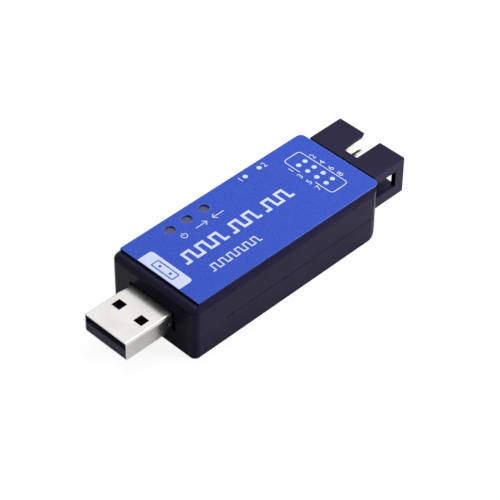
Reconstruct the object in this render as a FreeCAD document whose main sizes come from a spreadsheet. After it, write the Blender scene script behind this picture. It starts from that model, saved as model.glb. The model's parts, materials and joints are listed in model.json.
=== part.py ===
import FreeCAD, Part
import math
import os
import re

# USB to serial adapter: a flat two-part case with a plug at one end and a shrouded
# eight-pin header at the other.
# Frame: origin at the centre of the case's underside, +X towards the header, +Z up.
# All sizes are in millimetres.

doc = FreeCAD.newDocument("serial_adapter")
sheet = doc.addObject("Spreadsheet::Sheet", "Sizes")

SIZES = [
    # case
    ("case_length", "53.2", "outside length of the two shells"),
    ("case_width", "23.8", "outside width of the two shells"),
    ("case_height", "12.95", "underside to the flat top"),
    ("case_wall", "1.6", "side, front and rear walls"),
    ("floor_thick", "1.6", "bottom of the lower shell"),
    ("roof_thick", "1.6", "top of the upper shell"),
    ("front_corner_radius", "1.65", "upright edges at the plug end"),
    ("rear_corner_radius", "3.3", "upright edges at the header end"),
    ("rear_foot_radius", "4.5", "bottom edge under the header"),
    ("rear_foot_inner", "2.0", "the same edge inside"),
    ("front_top_radius", "1.6", "top edge over the plug"),
    ("top_edge_radius", "1.4", "top edges of the long sides"),
    ("rear_top_radius", "0.2", "top edge at the header"),
    ("foot_edge_radius", "0.3", "bottom edges"),
    ("inner_corner_radius", "0.6", "upright edges of the hollow"),
    # joint between the shells
    ("seam_height", "5.9", "parting plane above the underside"),
    ("lip_thick", "0.7", "lip that rises inside the upper shell"),
    ("lip_height", "1.0", "height of that lip"),
    ("lip_play", "0.1", "clearance round the lip"),
    ("groove_height", "0.2", "fine line along the long sides at the seam"),
    ("groove_depth", "0.2", "depth of that line"),
    ("groove_start", "8.7", "line begins this far behind the front"),
    # label plate
    ("pad_rise", "0.35", "raised field of the case that carries the label"),
    ("label_thick", "0.3", "blue plate on the top"),
    ("label_side_inset", "0.75", "case side to label edge"),
    ("label_front_inset", "2.0", "case front to label edge"),
    ("label_rear_inset", "0.3", "case rear to label edge"),
    ("label_corner_radius", "1.6", "two rear corners of the label"),
    ("ink_thick", "0.03", "printed marks on the label"),
    # indicator lights
    ("light_hole_diameter", "2.4", "holes in the label over the lights"),
    ("light_pitch", "4.65", "from one light to the next"),
    ("light_first", "12.5", "case front to the first light"),
    ("light_inset", "3.7", "case side to the row of lights"),
    ("pipe_diameter", "2.2", "clear light pipe"),
    ("pipe_play", "0.05", "pipe to its hole, each side"),
    ("pipe_recess", "0.3", "pipe's end below the label's face"),
    ("flange_diameter", "3.4", "collar under the roof"),
    ("flange_thick", "0.8", "thickness of the collar"),
    ("led_gap", "0.3", "light to pipe"),
    ("led_long", "1.6", "indicator light"),
    ("led_wide", "0.8", "indicator light"),
    ("led_tall", "0.7", "indicator light"),
    # circuit board
    ("board_rise", "1.2", "case floor to the board's underside"),
    ("board_thick", "1.6", "circuit board"),
    ("board_play", "0.3", "board edge to the walls"),
    ("rib_long", "3.0", "four ribs that hold the board's long edges"),
    ("rib_grip", "0.8", "part of the board that a rib covers"),
    ("rib_inset", "3.5", "inside of an end wall to the middle of a rib"),
    # plug
    ("plug_width", "12.0", "metal shell of the plug"),
    ("plug_height", "4.5", "metal shell of the plug"),
    ("plug_sheet", "0.3", "thickness of its sheet"),
    ("plug_reach", "12.2", "part of the plug outside the case"),
    ("plug_rear", "6.6", "part of the plug inside, from the case front"),
    ("plug_corner_radius", "0.55", "long outer edges"),
    ("plug_play", "0.2", "plug to the opening in the case, above and below"),
    ("plug_side_play", "0.45", "plug to the opening in the case, each side"),
    ("window_long", "2.2", "square latch windows, along the plug"),
    ("window_wide", "2.25", "square latch windows, across the plug"),
    ("window_setback", "6.45", "mouth to the centre of a window"),
    ("window_spacing", "6.28", "from one window to the other"),
    ("dimple_diameter", "0.9", "pressed dimple in each narrow side"),
    ("dimple_depth", "0.12", "depth of the dimple"),
    ("dimple_setback", "1.4", "case front to the dimple"),
    ("tongue_side_play", "0.06", "insulator to the sheet beside it"),
    ("tongue_thick", "1.9", "insulator inside the plug"),
    ("tongue_setback", "0.15", "mouth to the insulator's end"),
    ("tongue_seat", "0.05", "insulator to the sheet below it"),
    ("socket_depth", "11.6", "mouth to the solid block"),
    ("contact_width", "1.0", "contact strips on the insulator"),
    ("contact_thick", "0.15", "contact strips on the insulator"),
    ("contact_outer_side", "3.5", "centre line to an outer strip"),
    ("contact_inner_side", "1.0", "centre line to an inner strip"),
    ("contact_outer_setback", "1.5", "mouth to an outer strip"),
    ("contact_inner_setback", "2.5", "mouth to an inner strip"),
    ("contact_leg", "0.5", "width of a strip's leg in the board"),
    ("leg_play", "0.1", "legs to their holes in the board"),
    ("leg_below", "0.5", "legs below the board"),
    ("tab_long", "1.6", "solder tabs of the plug"),
    ("tab_setback", "4.2", "case front to the middle of a tab"),
    # header
    ("header_width", "18.25", "shroud across"),
    ("header_height", "8.85", "shroud upright"),
    ("header_reach", "9.6", "shroud's mouth beyond the case"),
    ("header_gap", "0.35", "narrow gap from the case to the shroud"),
    ("header_wall", "1.2", "walls of the shroud"),
    ("header_cavity", "6.6", "depth of the shroud's hollow"),
    ("key_slot", "4.4", "slot in the top wall"),
    ("key_depth", "7.0", "length of that slot"),
    ("mouth_bevel_deep", "0.6", "slope inside the mouth, along the shroud"),
    ("mouth_bevel_wide", "0.8", "slope inside the mouth, into the walls"),
    ("end_window_start", "0.6", "case rear to the side window"),
    ("end_window_end", "7.1", "case rear to the window's far edge"),
    ("end_window_tall", "3.8", "side windows of the shroud"),
    ("end_window_raise", "0.15", "window centre above the pin centre"),
    ("pin_pitch", "2.54", "both ways between pins"),
    ("pin_side", "0.64", "square pins"),
    ("pin_recess", "1.3", "shroud's mouth to the pin tips"),
    ("pin_tip", "0.3", "taper at the tips"),
    ("pin_bend", "3.15", "shroud's back to the first row of legs"),
    ("pin_hole", "1.0", "holes in the board for the pins"),
    ("pin_below", "0.6", "pins below the board"),
    ("pin_window_play", "0.4", "pins to the opening in the rear wall"),
    # selector switch
    ("switch_inset", "16.5", "case rear to the middle of the switch"),
    ("switch_long", "8.6", "switch housing along the case"),
    ("switch_deep", "3.6", "switch housing across the case"),
    ("switch_tall", "3.5", "switch housing upright"),
    ("switch_skin", "0.5", "front and other walls of the housing"),
    ("knob_side", "1.5", "square stem of the knob"),
    ("knob_sunk", "0.25", "stem's end below the case side"),
    ("knob_travel", "2.0", "from one position to the other"),
    ("knob_play", "0.12", "knob to the housing"),
    ("knob_wall_play", "0.3", "knob to the opening in the case"),
    ("slider_long", "3.4", "block of the knob inside the housing"),
    ("slider_deep", "1.5", "block of the knob inside the housing"),
    ("slider_tall", "2.2", "block of the knob inside the housing"),
    ("terminal_pitch", "2.5", "legs of the switch"),
    ("terminal_side", "0.5", "legs of the switch"),
    # parts on the board
    ("lead_thick", "0.2", "metal feet under the chips"),
    ("lead_reach", "0.7", "feet beyond a chip's body"),
    ("lead_under", "0.4", "feet beneath a chip's body"),
    ("converter_long", "10.2", "converter chip"),
    ("converter_wide", "5.3", "converter chip"),
    ("converter_tall", "1.5", "converter chip"),
    ("converter_side", "-1.5", "centre line to the converter chip"),
    ("buffer_long", "5.0", "level buffer chip"),
    ("buffer_wide", "4.4", "level buffer chip"),
    ("buffer_tall", "1.0", "level buffer chip"),
    ("buffer_side", "-1.5", "centre line to the buffer chip"),
    ("lead_pitch", "0.65", "feet of the two chips"),
    ("lead_wide", "0.3", "feet of the two chips"),
    ("regulator_long", "6.5", "voltage regulator"),
    ("regulator_wide", "3.5", "voltage regulator"),
    ("regulator_tall", "1.6", "voltage regulator"),
    ("regulator_middle", "11.5", "case front to the regulator"),
    ("regulator_inset", "3.4", "board side to the regulator"),
    ("regulator_pitch", "2.3", "feet of the regulator"),
    ("regulator_lead", "0.7", "width of the regulator's feet"),
    ("guard_long", "2.9", "surge guards"),
    ("guard_wide", "1.6", "surge guards"),
    ("guard_tall", "0.9", "surge guards"),
    ("guard_pitch", "0.95", "feet of the surge guards"),
    ("guard_lead", "0.35", "width of their feet"),
    ("plug_guard_middle", "10.8", "case front to the guard by the plug"),
    ("header_guard_inset", "10.6", "case rear to the guard by the header"),
    ("header_guard_side", "-2.0", "centre line to the guard by the header"),
    ("fuse_long", "3.2", "resettable fuse"),
    ("fuse_wide", "1.6", "resettable fuse"),
    ("fuse_tall", "0.8", "resettable fuse"),
    ("fuse_middle", "9.2", "case front to the fuse"),
    ("fuse_inset", "2.1", "plug's side to the fuse"),
    ("chip_part_long", "1.6", "small resistors and capacitors"),
    ("chip_part_wide", "0.8", "small resistors and capacitors"),
    ("resistor_tall", "0.45", "resistors"),
    ("capacitor_tall", "0.8", "capacitors"),
    ("capacitor_inset", "1.5", "board side to the capacitor after the regulator"),
    ("resistor_inset", "6.5", "case side to the resistors beside the lights"),
    # printed marks
    ("tab_depth", "3.75", "white field behind the label's front edge"),
    ("tab_left", "6.2", "white field, far side from the centre line"),
    ("tab_right", "5.6", "white field, near side from the centre line"),
    ("tab_radius", "0.75", "its two rear corners"),
    ("trace_start", "8.3", "case front to the wide trace"),
    ("trace_end", "15.5", "wide trace to the case rear"),
    ("trace_tall", "3.3", "wide trace"),
    ("trace_stroke", "0.62", "wide trace"),
    ("trace_side", "-0.1", "centre line to the wide trace"),
    ("fine_start", "10.5", "case front to the fine trace"),
    ("fine_run", "13.1", "length of the fine trace"),
    ("fine_tall", "2.0", "fine trace"),
    ("fine_stroke", "0.3", "fine trace"),
    ("fine_side", "-5.7", "centre line to the fine trace"),
    ("digit_tall", "1.5", "numbers"),
    ("digit_wide", "0.85", "numbers"),
    ("digit_stroke", "0.2", "numbers"),
    ("dot_diameter", "1.1", "dots of the pin plan and the selector"),
    ("plan_pitch_long", "1.87", "pin plan, between its two rows"),
    ("plan_pitch_wide", "2.58", "pin plan, between neighbours"),
    ("plan_inset", "7.2", "case rear to the pin plan"),
    ("plan_side", "0.3", "centre line to the pin plan"),
    ("plan_long", "4.7", "outline of the pin plan"),
    ("plan_wide", "13.8", "outline of the pin plan"),
    ("plan_gap", "4.6", "opening in that outline"),
    ("plan_stroke", "0.22", "line of that outline"),
    ("selector_dot_pitch", "4.0", "between the two selector dots"),
    ("selector_dot_inset", "2.6", "case side to the selector dots"),
    ("icon_inset", "7.0", "case side to the marks beside the lights"),
    ("icon_ahead", "0.9", "marks stand this far behind their light"),
]

for row, (alias, text, note) in enumerate(SIZES, start=1):
    sheet.set("A%d" % row, note)
    sheet.set("B%d" % row, text)
    sheet.setAlias("B%d" % row, alias)
doc.recompute()

ALIASES = set(alias for alias, _, _ in SIZES)


def bound(expression):
    """The expression with every alias written as a cell of the sheet."""
    def cell(match):
        word = match.group(0)
        return "Sizes." + word if word in ALIASES else word
    return re.sub(r"[a-z_]+", cell, expression)


def size(alias):
    """The plain number in a cell."""
    return float(sheet.get(alias))


def place(obj, x, y, z):
    """Ties an object's corner or centre to three expressions."""
    for axis, expression in zip("xyz", (x, y, z)):
        obj.setExpression("Placement.Base." + axis, bound(expression))


def box(name, x, y, z, length, width, height):
    """A block with its low corner at x, y, z."""
    obj = doc.addObject("Part::Box", name)
    obj.setExpression("Length", bound(length))
    obj.setExpression("Width", bound(width))
    obj.setExpression("Height", bound(height))
    place(obj, x, y, z)
    return obj


def middle_box(name, x, y, z, length, width, height):
    """A block centred on x and y that stands on z."""
    low_x = "(%s) - (%s) / 2" % (x, length)
    low_y = "(%s) - (%s) / 2" % (y, width)
    return box(name, low_x, low_y, z, length, width, height)


def upright(name, x, y, z, diameter, height):
    """A round bar standing on z."""
    obj = doc.addObject("Part::Cylinder", name)
    obj.setExpression("Radius", bound("(%s) / 2" % diameter))
    obj.setExpression("Height", bound(height))
    place(obj, x, y, z)
    return obj


def cut(name, base, *tools):
    """The base without the tools."""
    tool = tools[0]
    if len(tools) > 1:
        tool = doc.addObject("Part::MultiFuse", name + "_cutters")
        tool.Shapes = list(tools)
    obj = doc.addObject("Part::Cut", name)
    obj.Base = base
    obj.Tool = tool
    return obj


def fuse(name, *shapes):
    obj = doc.addObject("Part::MultiFuse", name)
    obj.Shapes = list(shapes)
    return obj


def common(name, *shapes):
    obj = doc.addObject("Part::MultiCommon", name)
    obj.Shapes = list(shapes)
    return obj


def group(name, shapes):
    obj = doc.addObject("Part::Compound", name)
    obj.Links = list(shapes)
    return obj


def rounded_block(name, corner, sides, roundings):
    """A block with rounded edges.

    Each rounding is a direction along the edges, the ends of the other axes that
    they lie on, and a radius."""
    body = doc.addObject("PartDesign::Body", name)
    block = body.newObject("PartDesign::AdditiveBox", name + "_block")
    for prop, expression in zip(("Length", "Width", "Height"), sides):
        block.setExpression(prop, bound(expression))
    place(body, *corner)
    doc.recompute()
    last = block
    for number, (along, ends, radius) in enumerate(roundings):
        shape = last.Shape
        extent = shape.BoundBox
        low = {"x": extent.XMin, "y": extent.YMin, "z": extent.ZMin}
        high = {"x": extent.XMax, "y": extent.YMax, "z": extent.ZMax}
        chosen = []
        for index, edge in enumerate(shape.Edges, start=1):
            if edge.Curve.TypeId != "Part::GeomLine":
                continue
            start = edge.Vertexes[0].Point
            step = edge.Vertexes[-1].Point - start
            if abs(getattr(step, along)) < edge.Length * 0.99:
                continue
            hit = True
            for axis, end in ends.items():
                wanted = high[axis] if end > 0 else low[axis]
                hit = hit and abs(getattr(start, axis) - wanted) < 1e-4
            faces_met = [
                axis for axis in "xyz"
                if axis != along and (abs(getattr(start, axis) - low[axis]) < 1e-4
                                      or abs(getattr(start, axis) - high[axis]) < 1e-4)
            ]
            if hit and len(faces_met) == 2:
                chosen.append("Edge%d" % index)
        fillet = body.newObject("PartDesign::Fillet", "%s_round%d" % (name, number))
        fillet.Base = (last, chosen)
        fillet.setExpression("Radius", bound(radius))
        body.Tip = fillet
        doc.recompute()
        last = fillet
    return body


# derived positions
FRONT = "(-case_length / 2)"
REAR = "(case_length / 2)"
SIDE = "(case_width / 2)"
PAD_TOP = "(case_height + pad_rise)"
LABEL_TOP = "(case_height + pad_rise + label_thick)"
INNER_FRONT = "(-case_length / 2 + case_wall)"
INNER_LONG = "(case_length - 2 * case_wall)"
INNER_WIDE = "(case_width - 2 * case_wall)"
CEILING = "(case_height - roof_thick)"
BOARD_UNDER = "(floor_thick + board_rise)"
BOARD_TOP = "(floor_thick + board_rise + board_thick)"
BOARD_LONG = "(case_length - 2 * case_wall - 2 * board_play)"
BOARD_WIDE = "(case_width - 2 * case_wall - 2 * board_play)"
PLUG_MIDDLE = "(%s + plug_height / 2)" % BOARD_TOP
PLUG_TIP = "(-case_length / 2 - plug_reach)"
PLUG_LONG = "(plug_reach + plug_rear)"
HEADER_BACK = "(case_length / 2 + header_gap)"
HEADER_MOUTH = "(case_length / 2 + header_reach)"
HEADER_LONG = "(header_reach - header_gap)"
HEADER_MIDDLE = "(%s + header_height / 2)" % BOARD_TOP
SWITCH_X = "(case_length / 2 - switch_inset)"
LIGHT_Y = "(case_width / 2 - light_inset)"
TONGUE_WIDE = "(plug_width - 2 * plug_sheet - 2 * tongue_side_play)"
SWITCH_FRONT = "(%s / 2)" % BOARD_WIDE
KNOB_MIDDLE = "(%s + switch_tall / 2)" % BOARD_TOP

# outer form of the closed case, where three rounded blocks meet
OUTER_CORNER = (FRONT, "-case_width / 2", "0")
OUTER_SIDES = ("case_length", "case_width", "case_height")
plan_form = rounded_block("plan_form", OUTER_CORNER, OUTER_SIDES, [
    ("z", {"x": -1}, "front_corner_radius"),
    ("z", {"x": 1}, "rear_corner_radius"),
])
side_form = rounded_block("side_form", OUTER_CORNER, OUTER_SIDES, [
    ("y", {"x": -1, "z": 1}, "front_top_radius"),
    ("y", {"x": 1, "z": 1}, "rear_top_radius"),
    ("y", {"x": -1, "z": -1}, "foot_edge_radius"),
    ("y", {"x": 1, "z": -1}, "rear_foot_radius"),
])
end_form = rounded_block("end_form", OUTER_CORNER, OUTER_SIDES, [
    ("x", {"z": 1}, "top_edge_radius"),
    ("x", {"z": -1}, "foot_edge_radius"),
])
case_form = common("case_form", plan_form, side_form, end_form)

hollow = rounded_block(
    "hollow",
    (INNER_FRONT, "-%s / 2" % INNER_WIDE, "floor_thick"),
    (INNER_LONG, INNER_WIDE, "case_height - roof_thick - floor_thick"),
    [("y", {"x": 1, "z": -1}, "rear_foot_inner"), ("z", {}, "inner_corner_radius")],
)


def ring_block(name, grow, tall):
    """The block inside a lip or its rebate, standing on the seam."""
    return rounded_block(
        name,
        ("%s - (%s)" % (INNER_FRONT, grow), "-%s / 2 - (%s)" % (INNER_WIDE, grow),
         "seam_height"),
        ("%s + 2 * (%s)" % (INNER_LONG, grow), "%s + 2 * (%s)" % (INNER_WIDE, grow),
         tall),
        [("z", {}, "inner_corner_radius + (%s)" % grow)],
    )


lip_block = ring_block("lip_block", "lip_thick", "lip_height")
rebate_block = ring_block("rebate_block", "lip_thick + lip_play", "lip_height + lip_play")

# openings that both shells share
plug_opening = middle_box(
    "plug_opening", "%s + case_wall / 2" % FRONT, "0", "%s - plug_play" % BOARD_TOP,
    "case_wall + 2", "plug_width + 2 * plug_side_play", "plug_height + 2 * plug_play")
COLUMNS = "abcd"
PIN_SPAN = "((%d - 1) * pin_pitch + pin_side)" % len(COLUMNS)
pin_opening = box(
    "pin_opening", "%s - case_wall - 0.5" % REAR,
    "-%s / 2 - pin_window_play" % PIN_SPAN, BOARD_TOP, "case_wall + 2",
    "%s + 2 * pin_window_play" % PIN_SPAN,
    "header_height / 2 + pin_pitch / 2 + pin_side / 2 + pin_window_play")
knob_opening = middle_box(
    "knob_opening", SWITCH_X, "%s - case_wall / 2" % SIDE,
    "%s - knob_side / 2 - knob_wall_play" % KNOB_MIDDLE,
    "knob_side + knob_travel + 2 * knob_wall_play", "case_wall + 1",
    "knob_side + 2 * knob_wall_play")
OPENINGS = [plug_opening, pin_opening, knob_opening]

# lower shell with its lip and the ribs that carry the board
below_seam = middle_box("below_seam", "0", "0", "-1", "case_length + 2",
                        "case_width + 2", "seam_height + 1")
lower_form = common("lower_form", case_form, below_seam)
lower_solid = fuse("lower_solid", lower_form, lip_block)
lower_shell = cut("lower_shell", lower_solid, hollow, *OPENINGS)


def ribs(prefix, z, tall):
    """Four ribs on the long walls that hold the board's edges near its ends."""
    deep = "(board_play + rib_grip)"
    made = []
    for end in (-1, 1):
        for side in (-1, 1):
            made.append(middle_box(
                "%s_%d" % (prefix, len(made) + 1),
                "%d * (%s / 2 - rib_inset)" % (end, INNER_LONG),
                "%d * (%s / 2 - %s / 2)" % (side, INNER_WIDE, deep),
                z, "rib_long", deep, tall))
    return made


bottom_shell = fuse("bottom_shell", lower_shell,
                    *ribs("board_rest", "floor_thick", "board_rise"))

# upper shell with the rebate for the lip, the light holes and its own ribs
above_seam = middle_box("above_seam", "0", "0", "seam_height", "case_length + 2",
                        "case_width + 2", "case_height")
upper_form = common("upper_form", case_form, above_seam)


def light_x(number):
    return "(%s + light_first + %d * light_pitch)" % (FRONT, number)


pipe_holes = [
    upright("pipe_hole_%d" % (n + 1), light_x(n), LIGHT_Y, CEILING + " - 1",
            "pipe_diameter + 2 * pipe_play", "roof_thick + pad_rise + 2")
    for n in range(3)
]
# the fine line starts behind the front and runs round the rear end
groove_outside = box(
    "groove_outside", "%s + groove_start" % FRONT, "-case_width / 2 - 1", "seam_height",
    "case_length - groove_start + 1", "case_width + 2", "groove_height")
groove_inside = rounded_block(
    "groove_inside",
    ("%s + groove_depth" % FRONT, "-case_width / 2 + groove_depth", "seam_height - 1"),
    ("case_length - 2 * groove_depth", "case_width - 2 * groove_depth",
     "groove_height + 2"),
    [("z", {"x": 1}, "rear_corner_radius - groove_depth")],
)
seam_line = cut("seam_line", groove_outside, groove_inside)


def label_form(name, z, tall):
    """A flat block with the outline of the label."""
    return rounded_block(
        name,
        ("%s + label_front_inset" % FRONT, "-%s + label_side_inset" % SIDE, z),
        ("case_length - label_front_inset - label_rear_inset",
         "case_width - 2 * label_side_inset", tall),
        [("z", {"x": 1}, "label_corner_radius")],
    )


label_pad = label_form("label_pad", "case_height - roof_thick / 2",
                       "pad_rise + roof_thick / 2")
upper_solid = fuse("upper_solid", upper_form, label_pad)
upper_shell = cut("upper_shell", upper_solid, hollow, rebate_block, *OPENINGS,
                  *pipe_holes, seam_line)
top_shell = fuse("top_shell", upper_shell,
                 *ribs("board_press", BOARD_TOP, "%s - %s" % (CEILING, BOARD_TOP)))

# label plate with a hole over each light
label_blank = label_form("label_blank", PAD_TOP, "label_thick")
label_holes = [
    upright("label_hole_%d" % (n + 1), light_x(n), LIGHT_Y, PAD_TOP + " - 1",
            "light_hole_diameter", "label_thick + 2")
    for n in range(3)
]
label_plate = cut("label_plate", label_blank, *label_holes)

# indicator lights and the clear pipes above them
LIGHTS = ("power", "send", "receive")
PIPE_FOOT = "(%s + led_tall + led_gap)" % BOARD_TOP
light_parts = []
for n, title in enumerate(LIGHTS):
    rod = upright(title + "_rod", light_x(n), LIGHT_Y, PIPE_FOOT,
                  "pipe_diameter", "%s - pipe_recess - %s" % (LABEL_TOP, PIPE_FOOT))
    collar = upright(title + "_collar", light_x(n), LIGHT_Y,
                     "%s - flange_thick" % CEILING, "flange_diameter", "flange_thick")
    light_parts.append(fuse(title + "_light_pipe", rod, collar))
    light_parts.append(middle_box(title + "_light", light_x(n), LIGHT_Y, BOARD_TOP,
                                  "led_long", "led_wide", "led_tall"))

# plug shell: a folded tube with latch windows above and below
plug_tube = rounded_block(
    "plug_tube", (PLUG_TIP, "-plug_width / 2", BOARD_TOP),
    (PLUG_LONG, "plug_width", "plug_height"),
    [("x", {}, "plug_corner_radius")],
)
plug_bore = rounded_block(
    "plug_bore",
    ("%s - 1" % PLUG_TIP, "-plug_width / 2 + plug_sheet", "%s + plug_sheet" % BOARD_TOP),
    ("%s + 2" % PLUG_LONG, "plug_width - 2 * plug_sheet", "plug_height - 2 * plug_sheet"),
    [("x", {}, "plug_corner_radius - plug_sheet")],
)
plug_cuts = [plug_bore]
for number, side in enumerate((-1, 1), start=1):
    plug_cuts.append(middle_box(
        "latch_windows_%d" % number, "%s + window_setback" % PLUG_TIP,
        "%d * window_spacing / 2" % side, "%s - 1" % BOARD_TOP,
        "window_long", "window_wide", "plug_height + 2"))
    dimple = doc.addObject("Part::Cylinder", "dimple_%d" % number)
    dimple.setExpression("Radius", bound("dimple_diameter / 2"))
    dimple.setExpression("Height", bound("2 * dimple_depth"))
    dimple.Placement.Rotation = FreeCAD.Rotation(FreeCAD.Vector(1, 0, 0), -90)
    place(dimple, "%s - dimple_setback" % FRONT,
          "%d * plug_width / 2 - dimple_depth" % side, PLUG_MIDDLE)
    plug_cuts.append(dimple)
plug_sleeve = cut("plug_sleeve", plug_tube, *plug_cuts)
TAB_X = "(%s + tab_setback)" % FRONT
TAB_LOW = "(%s - leg_below)" % BOARD_UNDER
plug_tabs = [
    box("plug_tab_%d" % number, "%s - tab_long / 2" % TAB_X,
        "%d * (plug_width / 2 - plug_sheet / 2) - plug_sheet / 2" % side, TAB_LOW,
        "tab_long", "plug_sheet", "%s - %s" % (PLUG_MIDDLE, TAB_LOW))
    for number, side in enumerate((-1, 1), start=1)
]
plug_shell = fuse("plug_shell", plug_sleeve, *plug_tabs)

# contact strips run over the insulator, through its block and down into the board
TONGUE_LOW = "(%s + plug_sheet + tongue_seat)" % BOARD_TOP
TONGUE_TOP = "(%s + tongue_thick)" % TONGUE_LOW
BLOCK_REAR = "(%s + plug_rear)" % FRONT
contacts = []
leg_holes = []
for number, (where, setback) in enumerate((
        ("-contact_outer_side", "contact_outer_setback"),
        ("-contact_inner_side", "contact_inner_setback"),
        ("contact_inner_side", "contact_inner_setback"),
        ("contact_outer_side", "contact_outer_setback")), start=1):
    start = "(%s + %s)" % (PLUG_TIP, setback)
    strip = box("contact_strip_%d" % number, start, "%s - contact_width / 2" % where,
                TONGUE_TOP, "%s + contact_thick - %s" % (BLOCK_REAR, start),
                "contact_width", "contact_thick")
    drop = box("contact_drop_%d" % number, BLOCK_REAR, "%s - contact_leg / 2" % where,
               TAB_LOW, "contact_thick", "contact_leg",
               "%s + contact_thick - %s" % (TONGUE_TOP, TAB_LOW))
    contacts.append(fuse("plug_contact_%d" % number, strip, drop))
    leg_holes.append(middle_box(
        "contact_hole_%d" % number, "%s + contact_thick / 2" % BLOCK_REAR, where,
        "%s - 1" % BOARD_UNDER, "contact_thick + 2 * leg_play",
        "contact_leg + 2 * leg_play", "board_thick + 2"))
plug_contacts = group("plug_contacts", contacts)

TONGUE_START = "(%s + tongue_setback)" % PLUG_TIP
BLOCK_START = "(%s + socket_depth)" % PLUG_TIP
TONGUE_CORNER = "plug_corner_radius - plug_sheet"
tongue_bar = rounded_block(
    "tongue_bar", (TONGUE_START, "-%s / 2" % TONGUE_WIDE, TONGUE_LOW),
    ("%s - %s" % (BLOCK_REAR, TONGUE_START), TONGUE_WIDE, "tongue_thick"),
    [("x", {"z": -1}, TONGUE_CORNER)],
)
tongue_block = rounded_block(
    "tongue_block", (BLOCK_START, "-%s / 2" % TONGUE_WIDE, TONGUE_LOW),
    ("%s - %s" % (BLOCK_REAR, BLOCK_START), TONGUE_WIDE,
     "plug_height - 2 * plug_sheet - 2 * tongue_seat"),
    [("x", {}, TONGUE_CORNER)],
)
tongue_solid = fuse("tongue_solid", tongue_bar, tongue_block)
plug_tongue = cut("plug_tongue", tongue_solid, plug_contacts)

# shrouded header
header_block = box("header_block", HEADER_BACK, "-header_width / 2", BOARD_TOP,
                   HEADER_LONG, "header_width", "header_height")
header_hollow = box("header_hollow", "%s - header_cavity" % HEADER_MOUTH,
                    "-header_width / 2 + header_wall", "%s + header_wall" % BOARD_TOP,
                    "header_cavity + 1", "header_width - 2 * header_wall",
                    "header_height - 2 * header_wall")
key_cutter = box("key_cutter", "%s - key_depth" % HEADER_MOUTH, "-key_slot / 2",
                 HEADER_MIDDLE, "key_depth + 1", "key_slot", "header_height")
# sloped mouth: a wedge that widens outwards, drawn twice as deep as the slope
mouth_bevel = doc.addObject("Part::Wedge", "mouth_bevel")
for side, growth in (("min", "-"), ("max", "+")):
    for axis, half in (("X", "(header_width / 2 - header_wall)"),
                       ("Z", "(header_height / 2 - header_wall)")):
        sign = "-" if side == "min" else ""
        mouth_bevel.setExpression(axis + side, bound("%s%s" % (sign, half)))
        mouth_bevel.setExpression(
            axis + "2" + side, bound("%s%s %s 2 * mouth_bevel_wide" % (sign, half, growth)))
mouth_bevel.Ymin = 0
mouth_bevel.setExpression("Ymax", bound("2 * mouth_bevel_deep"))
mouth_bevel.Placement.Rotation = FreeCAD.Rotation(FreeCAD.Vector(0, 0, 1), -90)
place(mouth_bevel, "%s - mouth_bevel_deep" % HEADER_MOUTH, "0", HEADER_MIDDLE)
header_cuts = [header_hollow, key_cutter, mouth_bevel]
for number, side in enumerate((-1, 1), start=1):
    header_cuts.append(box(
        "end_window_%d" % number, "%s + end_window_start" % REAR,
        "%d * (header_width / 2 - header_wall / 2) - header_wall / 2 - 0.5" % side,
        "%s + end_window_raise - end_window_tall / 2" % HEADER_MIDDLE,
        "end_window_end - end_window_start", "header_wall + 1", "end_window_tall"))

# square pins, bent down at the back of the header into the board
pins = []
pin_holes = []
PIN_START = "(%s - pin_recess)" % HEADER_MOUTH
for row, level in enumerate((-1, 1)):
    leg_x = "(%s - pin_bend - %d * pin_pitch)" % (HEADER_BACK, row)
    bar_z = "(%s + %d * pin_pitch / 2)" % (HEADER_MIDDLE, level)
    for column, letter in enumerate(COLUMNS):
        name = "%d%s" % (row + 1, letter)
        y = "((%d - (%d - 1) / 2) * pin_pitch)" % (column, len(COLUMNS))
        bar = doc.addObject("PartDesign::Body", "pin_bar_" + name)
        blank = bar.newObject("PartDesign::AdditiveBox", "pin_blank_" + name)
        blank.setExpression("Length", bound("%s - %s + pin_side / 2" % (PIN_START, leg_x)))
        blank.setExpression("Width", bound("pin_side"))
        blank.setExpression("Height", bound("pin_side"))
        place(bar, "%s - pin_side / 2" % leg_x, "%s - pin_side / 2" % y,
              "%s - pin_side / 2" % bar_z)
        doc.recompute()
        tip_face = [
            "Face%d" % index for index, face in enumerate(blank.Shape.Faces, start=1)
            if abs(face.CenterOfMass.x - blank.Shape.BoundBox.XMax) < 1e-4
        ]
        taper = bar.newObject("PartDesign::Chamfer", "pin_taper_" + name)
        taper.Base = (blank, tip_face)
        taper.ChamferType = "Two distances"
        taper.setExpression("Size", bound("pin_side / 4"))
        taper.setExpression("Size2", bound("pin_tip"))
        bar.Tip = taper
        pin_low = "(%s - pin_below)" % BOARD_UNDER
        leg = middle_box("pin_leg_" + name, leg_x, y, pin_low, "pin_side", "pin_side",
                         "%s - %s" % (bar_z, pin_low))
        pins.append(fuse("pin_" + name, bar, leg))
        pin_holes.append(upright("pin_hole_" + name, leg_x, y, "%s - 1" % BOARD_UNDER,
                                 "pin_hole", "board_thick + 2"))
        header_cuts.append(middle_box(
            "pin_seat_" + name, HEADER_BACK, y, "%s - pin_side / 2" % bar_z,
            "2 * %s" % HEADER_LONG, "pin_side", "pin_side"))
header_pins = group("header_pins", pins)
header_body = cut("header_body", header_block, *header_cuts)

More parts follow.
